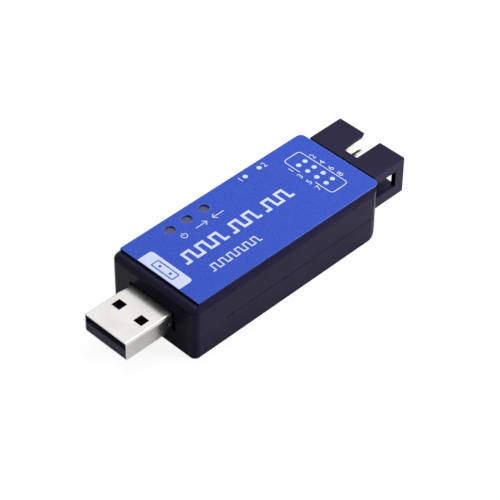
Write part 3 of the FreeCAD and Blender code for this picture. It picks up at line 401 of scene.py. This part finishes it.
def ball_corners(work):
    """Rounds the two upper front corners: cuts them finely, then draws them in."""
    for side in (-1.0, 1.0):
        outward = Vector((-1.0, side, 1.0))
        centre = Vector((FRONT * MM + BALL.x, side * (SIDE * MM - BALL.y),
                         CASE_TOP * MM - BALL.z))

        def reach(vert):
            gap = vert.co - centre
            return Vector([gap[k] * outward[k] / BALL[k] for k in range(3)])

        for axis in range(3):
            for step in range(BALL_STEPS):
                turn = math.radians(90.0 * step / BALL_STEPS)
                cut = centre.copy()
                cut[axis] += outward[axis] * BALL[axis] * math.sin(turn)
                bmesh.ops.bisect_plane(
                    work, geom=corner_faces(work, reach), dist=SAME_CUT, plane_co=cut,
                    plane_no=[float(k == axis) for k in range(3)])
        for vert in work.verts:
            share = reach(vert)
            if min(share) > INSIDE and share.length > 1.0:
                vert.co = centre + (vert.co - centre) / share.length


def softened(node, width, shape=None):
    """The node's own mesh, shaped if need be, with its sharp edges rounded."""
    mesh = bpy.data.meshes.new(node + "_soft")
    work = bmesh.new()
    work.from_mesh(nodes[node].data)
    bmesh.ops.remove_doubles(work, verts=work.verts, dist=SAME_POINT)
    bmesh.ops.dissolve_degenerate(work, edges=work.edges, dist=SAME_POINT)
    bmesh.ops.dissolve_limit(work, angle_limit=SAME_PLANE, verts=work.verts,
                             edges=work.edges)
    if shape is not None:
        shape(work)
    work.to_mesh(mesh)
    work.free()
    for layer in ("custom_normal", "sharp_edge", "sharp_face"):
        if layer in mesh.attributes:
            mesh.attributes.remove(mesh.attributes[layer])
    for polygon in mesh.polygons:
        polygon.use_smooth = True
    piece = bpy.data.objects.new(node + "_soft", mesh)
    bevel = piece.modifiers.new("edges", "BEVEL")
    bevel.width = width
    bevel.segments = EDGE_STEPS
    bevel.limit_method = "ANGLE"
    bevel.angle_limit = SHARP
    bevel.miter_outer = "MITER_ARC"
    flat = piece.modifiers.new("flat_faces", "WEIGHTED_NORMAL")
    flat.mode = "FACE_AREA"
    flat.weight = FACE_WEIGHT
    flat.keep_sharp = False
    take_place(piece, node)


softened("header_body", width=0.12 * MM)
softened("plug_shell", width=0.07 * MM)
softened("plug_tongue", width=0.055 * MM)
softened("top_shell", width=0.08 * MM, shape=ball_corners)
softened("bottom_shell", width=0.08 * MM)


# flat drawings in millimetres, for the print and the label

CORNER_STEPS = 5
# the most of a line that one rounded corner takes
LINE_SHARE = 0.49
TINY = 1e-6
STRAIGHT = 0.999
DRAWN_SAME_POINT = 1e-4


def bent(points, radius, closed):
    """The points with each corner rounded to about this radius."""
    made = []
    count = len(points)
    for i, corner in enumerate(points):
        if not closed and i in (0, count - 1):
            made.append(corner)
            continue
        before = points[i - 1] - corner
        after = points[(i + 1) % count] - corner
        reach = min(radius, before.length * LINE_SHARE, after.length * LINE_SHARE)
        if reach < TINY or before.normalized().dot(-after.normalized()) > STRAIGHT:
            made.append(corner)
            continue
        start = corner + before.normalized() * reach
        end = corner + after.normalized() * reach
        for step in range(CORNER_STEPS + 1):
            t = step / CORNER_STEPS
            made.append((1 - t) ** 2 * start + 2 * t * (1 - t) * corner + t * t * end)
    return made


def line_loop(points, width, square=True):
    """The closed outline of a line, as wide as given, with mitred corners."""
    points = [Vector(p) for p in points]
    half = width / 2
    if square:
        points[0] = points[0] + (points[0] - points[1]).normalized() * half
        points[-1] = points[-1] + (points[-1] - points[-2]).normalized() * half
    sides = ([], [])
    for i, point in enumerate(points):
        ways = []
        if i > 0:
            ways.append((point - points[i - 1]).normalized())
        if i < len(points) - 1:
            ways.append((points[i + 1] - point).normalized())
        normals = [Vector((-way.y, way.x)) for way in ways]
        across = sum(normals, Vector((0.0, 0.0))).normalized()
        across *= half / across.dot(normals[0])
        sides[0].append(point + across)
        sides[1].append(point - across)
    return sides[0] + sides[1][::-1]


def circle_loop(x, y, diameter, count=40):
    return [Vector((x + diameter / 2 * math.cos(2 * math.pi * n / count),
                    y + diameter / 2 * math.sin(2 * math.pi * n / count)))
            for n in range(count)]


def block_loop(x1, y1, x2, y2):
    return [Vector(p) for p in ((x1, y1), (x2, y1), (x2, y2), (x1, y2))]


def middle_loop(x, y, half_long, half_wide):
    return block_loop(x - half_long, y - half_wide, x + half_long, y + half_wide)


def wave_loop(x, y, tall, pulse, count, stroke, bend):
    """Outline of a square wave that starts and ends low."""
    low = y - tall / 2 + stroke / 2
    high = y + tall / 2 - stroke / 2
    points = [(x, low)]
    for n in range(count):
        left = x + (2 * n + 0.5) * pulse
        points += [(left, low), (left, high), (left + pulse, high), (left + pulse, low)]
    points.append((x + 2 * count * pulse, low))
    return bent(line_loop(points, stroke), bend, True)


def arrow_loop(x, y, way, reach, width):
    """A shaft and an open head as one outline, with its tip at x + way * reach."""
    tip = x + way * reach
    head = reach / 2
    lean = width / 2 * math.sqrt(0.5)
    upper = [(2 * lean, 0.0), (-head + lean, head + lean), (-head - lean, head - lean),
             (-2 * lean - width / 2, width / 2), (-2 * reach, width / 2)]
    points = upper + [(px, -py) for px, py in upper[:0:-1]]
    return [Vector((tip + way * px, y + py)) for px, py in points]


def to_mesh(curve):
    """The curve's own mesh; the curve itself is taken away again."""
    thing = bpy.data.objects.new("draft", curve)
    scene.collection.objects.link(thing)
    bpy.context.view_layer.update()
    mesh = bpy.data.meshes.new_from_object(
        thing.evaluated_get(bpy.context.evaluated_depsgraph_get()))
    bpy.data.objects.remove(thing)
    bpy.data.curves.remove(curve)
    return mesh


def filled(name, loops, **settings):
    """A curve filled inside its outlines; one inside another is left bare."""
    curve = bpy.data.curves.new(name, "CURVE")
    curve.dimensions = "2D"
    curve.fill_mode = "BOTH"
    for key, value in settings.items():
        setattr(curve, key, value)
    for loop in loops:
        spline = curve.splines.new("POLY")
        spline.points.add(len(loop) - 1)
        spline.points.foreach_set("co", [c for p in loop for c in (p.x, p.y, 0.0, 1.0)])
        spline.use_cyclic_u = True
    return to_mesh(curve)


def raise_drawing(name, drawings, height, node):
    """One piece from drawings in millimetres, set at a height in place of a node."""
    work = bmesh.new()
    for drawing in drawings:
        work.from_mesh(drawing)
    bmesh.ops.remove_doubles(work, verts=work.verts, dist=DRAWN_SAME_POINT)
    bmesh.ops.scale(work, verts=work.verts, vec=(MM, MM, MM))
    bmesh.ops.translate(work, verts=work.verts, vec=(0.0, 0.0, height * MM))
    mesh = bpy.data.meshes.new(name)
    work.to_mesh(mesh)
    work.free()
    take_place(bpy.data.objects.new(name, mesh), node)


# print: the same marks as the solid's, with round dots, bends and real figures

DOT = 1.1

# white field at the label's front edge, with a plain plug outline in it
FIELD_START, FIELD_DEEP = FRONT + 2.05, 3.7
FIELD_NEAR, FIELD_FAR, FIELD_BEND = -5.6, 6.2, 0.9
PLUG_LONG, PLUG_WIDE = 1.875, (FIELD_FAR - FIELD_NEAR) / 2
PLUG_X, PLUG_Y = FRONT + 2.0 + PLUG_LONG, (FIELD_FAR + FIELD_NEAR) / 2
PLUG_STROKE, PLUG_BEND = 0.3, 0.25
CONTACT_HALF, CONTACT_BEND = PLUG_LONG / 6, 0.08

# wide trace in groups of pulses
WIDE_GROUPS = (3, 2, 2)
WIDE_START, WIDE_END, WIDE_Y = FRONT + 8.3, REAR - 15.5, -0.1
WIDE_TALL, WIDE_STROKE, WIDE_BEND = 3.3, 0.62, 0.10

# fine trace below it
FINE_PULSES = 6
FINE_START, FINE_LONG, FINE_Y = FRONT + 10.5, 13.1, -5.7
FINE_TALL, FINE_STROKE, FINE_BEND = 2.0, 0.3, 0.06

# marks beside the lights
ICON_BEHIND, ICON_Y = 0.9, SIDE - 7.0
ICON, ICON_STROKE = 1.5, 0.2
RING_GAP, RING_STEPS = 52, 24

# two dots beside the selector
SELECTOR_X, SELECTOR_Y = REAR - 16.5, SIDE - 2.6
SELECTOR_HALF = 2.0
SELECTOR_FIGURE = 1.4

# plan of the header's pins: rows and figures are measured from its middle
PLAN_X, PLAN_Y = REAR - 7.2, 0.3
PLAN_COLUMNS, PLAN_PITCH = 4, 2.58
PLAN_ROW, PLAN_FIGURE = 0.935, 3.2
PLAN_LONG, PLAN_WIDE, PLAN_GAP = 2.35, 6.9, 2.3
PLAN_BEND, PLAN_STROKE = 0.9, 0.22

FIGURE_SIZE, FIGURE_STEPS = 2.05, 4


def field_loops():
    """The white field, and the bare plug outline and two contacts in it."""
    field = block_loop(FIELD_START, FIELD_NEAR, FIELD_START + FIELD_DEEP, FIELD_FAR)
    loops = [bent(field, FIELD_BEND, False)]
    for grow in (PLUG_STROKE / 2, -PLUG_STROKE / 2):
        outline = middle_loop(PLUG_X, PLUG_Y, PLUG_LONG / 2 + grow, PLUG_WIDE / 2 + grow)
        loops.append(bent(outline, PLUG_BEND + grow, True))
    for side in (-1, 1):
        contact = middle_loop(PLUG_X, PLUG_Y + side * PLUG_WIDE / 4, CONTACT_HALF,
                              CONTACT_HALF)
        loops.append(bent(contact, CONTACT_BEND, True))
    return loops


def trace_loops():
    """The wide square wave in its groups, and the fine one."""
    loops = []
    x = WIDE_START
    pulse = (WIDE_END - x) / (2 * sum(WIDE_GROUPS) + len(WIDE_GROUPS) - 1)
    for count in WIDE_GROUPS:
        loops.append(wave_loop(x, WIDE_Y, WIDE_TALL, pulse, count, WIDE_STROKE,
                               WIDE_BEND))
        x += (2 * count + 1) * pulse
    loops.append(wave_loop(FINE_START, FINE_Y, FINE_TALL, FINE_LONG / (2 * FINE_PULSES),
                           FINE_PULSES, FINE_STROKE, FINE_BEND))
    return loops


def light_loops():
    """A ring with a bar for power, then an arrow out and an arrow in."""
    x, out, back = (FRONT + LIGHT_FIRST + n * LIGHT_PITCH + ICON_BEHIND
                    for n in range(LIGHTS))
    radius = (ICON - ICON_STROKE) / 2
    ring = []
    for step in range(RING_STEPS + 1):
        turn = math.radians(90 + RING_GAP / 2 + step * (360 - RING_GAP) / RING_STEPS)
        ring.append((x + radius * math.cos(turn), ICON_Y + radius * math.sin(turn)))
    bar = [(x, ICON_Y), (x, ICON_Y + ICON / 2 + ICON_STROKE)]
    return [line_loop(ring, ICON_STROKE, square=False),
            line_loop(bar, ICON_STROKE, square=False),
            arrow_loop(out, ICON_Y, 1, ICON, ICON_STROKE),
            arrow_loop(back, ICON_Y, -1, ICON, ICON_STROKE)]


def column_y(column):
    return PLAN_Y + ((PLAN_COLUMNS - 1) / 2 - column) * PLAN_PITCH


def plan_loops():
    """A broken frame with a dot for each pin of the header."""
    frame_line = [(-PLAN_LONG, PLAN_GAP), (-PLAN_LONG, PLAN_WIDE), (PLAN_LONG, PLAN_WIDE),
                  (PLAN_LONG, -PLAN_WIDE), (-PLAN_LONG, -PLAN_WIDE),
                  (-PLAN_LONG, -PLAN_GAP)]
    frame_line = [Vector((PLAN_X + px, PLAN_Y + py)) for px, py in frame_line]
    loops = [line_loop(bent(frame_line, PLAN_BEND, False), PLAN_STROKE)]
    for column in range(PLAN_COLUMNS):
        for row in (-1, 1):
            loops.append(circle_loop(PLAN_X + row * PLAN_ROW, column_y(column), DOT))
    return loops


def print_loops():
    """Every closed outline of the print."""
    selector = [circle_loop(SELECTOR_X + side * SELECTOR_HALF, SELECTOR_Y, DOT)
                for side in (-1, 1)]
    return field_loops() + trace_loops() + light_loops() + selector + plan_loops()


def figures():
    """Plain numbers, each as its text and the place of its middle."""
    reach = SELECTOR_HALF + SELECTOR_FIGURE
    made = [("1", SELECTOR_X - reach, SELECTOR_Y), ("2", SELECTOR_X + reach, SELECTOR_Y)]
    for column in range(PLAN_COLUMNS):
        for row in (-1, 1):
            words = str(2 * column + (1 if row < 0 else 2))
            made.append((words, PLAN_X + row * PLAN_FIGURE, column_y(column)))
    return made


def figure_mesh(words, x, y, thick):
    """A number in the program's own typeface, with its middle at x and y."""
    curve = bpy.data.curves.new("print_figure", "FONT")
    curve.body = words
    curve.size = FIGURE_SIZE
    curve.align_x = "CENTER"
    curve.align_y = "CENTER"
    curve.extrude = thick
    curve.resolution_u = FIGURE_STEPS
    mesh = to_mesh(curve)
    heights = [vert.co.y for vert in mesh.vertices]
    middle = (min(heights) + max(heights)) / 2
    mesh.transform(Matrix.Translation((x, y - middle, 0.0)))
    return mesh


def draw_print():
    low, high = (corner.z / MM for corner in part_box("label_print"))
    half = (high - low) / 2
    drawings = [filled("print_lines", print_loops(), extrude=half)]
    drawings += [figure_mesh(*figure, half) for figure in figures()]
    raise_drawing("label_print_fine", drawings, (low + high) / 2, "label_print")


draw_print()


# label plate with round holes and softened edges

LABEL_SOFT, LABEL_SOFT_STEPS = 0.07, 2
LABEL_BEND = 1.44
LIGHT_HOLE_STEPS = 48


def draw_label():
    low, high = (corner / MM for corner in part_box("label_plate"))
    plate = bent(block_loop(low.x, low.y, high.x, high.y), LABEL_BEND, False)
    holes = [circle_loop(FRONT + LIGHT_FIRST + n * LIGHT_PITCH, LIGHT_Y, LIGHT_HOLE,
                         LIGHT_HOLE_STEPS) for n in range(LIGHTS)]
    drawing = filled("label_lines", [plate] + holes,
                     extrude=(high.z - low.z) / 2 - LABEL_SOFT, bevel_depth=LABEL_SOFT,
                     bevel_resolution=LABEL_SOFT_STEPS, offset=-LABEL_SOFT)
    raise_drawing("label_plate_fine", [drawing], (low.z + high.z) / 2, "label_plate")


draw_label()


# kit for light that depends on the kind of ray

# between no bounce and one, and between one bounce and two
UNSPREAD, MIRRORED_ONCE = 0.5, 1.5


def reckon(tree, operation, first, second):
    """One step of arithmetic on a socket and a number or another socket."""
    node = tree.nodes.new("ShaderNodeMath")
    node.operation = operation
    tree.links.new(first, node.inputs[0])
    if isinstance(second, float):
        node.inputs[1].default_value = second
    else:
        tree.links.new(second, node.inputs[1])
    return node.outputs["Value"]


def ray_choice(tree, *kinds):
    """1 for rays of these kinds that no matte face and at most one mirror has sent on."""
    rays = tree.nodes.new("ShaderNodeLightPath")
    unspread = reckon(tree, "LESS_THAN", rays.outputs["Diffuse Depth"], UNSPREAD)
    once = reckon(tree, "LESS_THAN", rays.outputs["Glossy Depth"], MIRRORED_ONCE)
    found = rays.outputs[kinds[0]]
    for kind in kinds[1:]:
        found = reckon(tree, "MAXIMUM", found, rays.outputs[kind])
    return reckon(tree, "MULTIPLY", reckon(tree, "MULTIPLY", found, unspread), once)


def chosen(tree, choice, other, first):
    """The first shader for the rays of a choice, and the other for the rest."""
    node = tree.nodes.new("ShaderNodeMixShader")
    tree.links.new(choice, node.inputs["Fac"])
    tree.links.new(other, node.inputs[1])
    tree.links.new(first, node.inputs[2])
    return node.outputs["Shader"]


# floor

FLOOR_HALF = 3.0
FLOOR_DROP = 0.05 * MM
# matte shade and own light, as each kind of ray finds them
FLOOR_SEEN = (0.14, 0.89)
FLOOR_MIRRORED = (0.64, 0.10)
FLOOR_OTHERWISE = (0.14, 0.0)


def floor_material():
    """Pale floor that reads as white and still takes the object's shadow."""
    kit = Nodes("floor_white")

    def surface(shade, light):
        matte = kit.add("ShaderNodeBsdfDiffuse")
        matte.inputs["Color"].default_value = (shade, shade, shade, 1.0)
        glow = kit.add("ShaderNodeEmission")
        glow.inputs["Strength"].default_value = light
        both = kit.add("ShaderNodeAddShader")
        kit.link(matte.outputs["BSDF"], both.inputs[0])
        kit.link(glow.outputs["Emission"], both.inputs[1])
        return both.outputs["Shader"]

    bounced = ray_choice(kit.tree, "Is Glossy Ray", "Is Transmission Ray")
    mirrored = chosen(kit.tree, bounced, surface(*FLOOR_OTHERWISE),
                      surface(*FLOOR_MIRRORED))
    seen = chosen(kit.tree, ray_choice(kit.tree, "Is Camera Ray"), mirrored,
                  surface(*FLOOR_SEEN))
    kit.link(seen, kit.out.inputs["Surface"])
    return kit.material


def lay_floor():
    mesh = bpy.data.meshes.new("floor")
    corners = block_loop(-FLOOR_HALF, -FLOOR_HALF, FLOOR_HALF, FLOOR_HALF)
    mesh.from_pydata([(p.x, p.y, 0.0) for p in corners], [], [(0, 1, 2, 3)])
    floor = bpy.data.objects.new("floor", mesh)
    scene.collection.objects.link(floor)
    floor.location.z = -FLOOR_DROP
    floor.data.materials.append(floor_material())


lay_floor()


# world: white for the camera and the first mirror image, dim for all else

SKY_DIM = 0.08
# how high a mirrored ray points, and the sky's strength there
SKY_RISE = (0.46, 0.66)
SKY_STRENGTH = (0.95, 1.0)


def make_world():
    world = bpy.data.worlds.new("studio")
    scene.world = world
    world.use_nodes = True
    tree = world.node_tree
    tree.nodes.clear()
    out = tree.nodes.new("ShaderNodeOutputWorld")

    def sky(strength):
        node = tree.nodes.new("ShaderNodeBackground")
        node.inputs["Color"].default_value = (1.0, 1.0, 1.0, 1.0)
        node.inputs["Strength"].default_value = strength
        return node

    way = tree.nodes.new("ShaderNodeTexCoord")
    parts = tree.nodes.new("ShaderNodeSeparateXYZ")
    tree.links.new(way.outputs["Generated"], parts.inputs["Vector"])
    rise = tree.nodes.new("ShaderNodeMapRange")
    rise.interpolation_type = "SMOOTHSTEP"
    rise.inputs["From Min"].default_value = SKY_RISE[0]
    rise.inputs["From Max"].default_value = SKY_RISE[1]
    rise.inputs["To Min"].default_value = SKY_STRENGTH[0]
    rise.inputs["To Max"].default_value = SKY_STRENGTH[1]
    tree.links.new(parts.outputs["Z"], rise.inputs["Value"])
    ceiling = sky(1.0)
    tree.links.new(rise.outputs["Result"], ceiling.inputs["Strength"])

    mirrored = chosen(tree, ray_choice(tree, "Is Glossy Ray"),
                      sky(SKY_DIM).outputs["Background"], ceiling.outputs["Background"])
    seen = chosen(tree, ray_choice(tree, "Is Camera Ray", "Is Transmission Ray"),
                  mirrored, sky(1.0).outputs["Background"])
    tree.links.new(seen, out.inputs["Surface"])


make_world()


# lamps, each aimed at the frame's origin

def lamp(name, place, size, power, mirrored):
    """A square lamp; one that isn't mirrored leaves no white patch in the steel."""
    data = bpy.data.lights.new(name, "AREA")
    data.shape = "SQUARE"
    data.size = size
    data.energy = power
    thing = bpy.data.objects.new(name, data)
    scene.collection.objects.link(thing)
    thing.location = place
    thing.rotation_euler = (-Vector(place)).to_track_quat("-Z", "Y").to_euler()
    thing.visible_glossy = mirrored


lamp("key", (0.22, -0.27, 0.15), size=0.20, power=2.0, mirrored=False)
lamp("fill", (0.24, 0.62, 0.18), size=0.40, power=6.5, mirrored=False)
lamp("top", (0.12, 0.12, 0.80), size=0.60, power=2.9, mirrored=True)
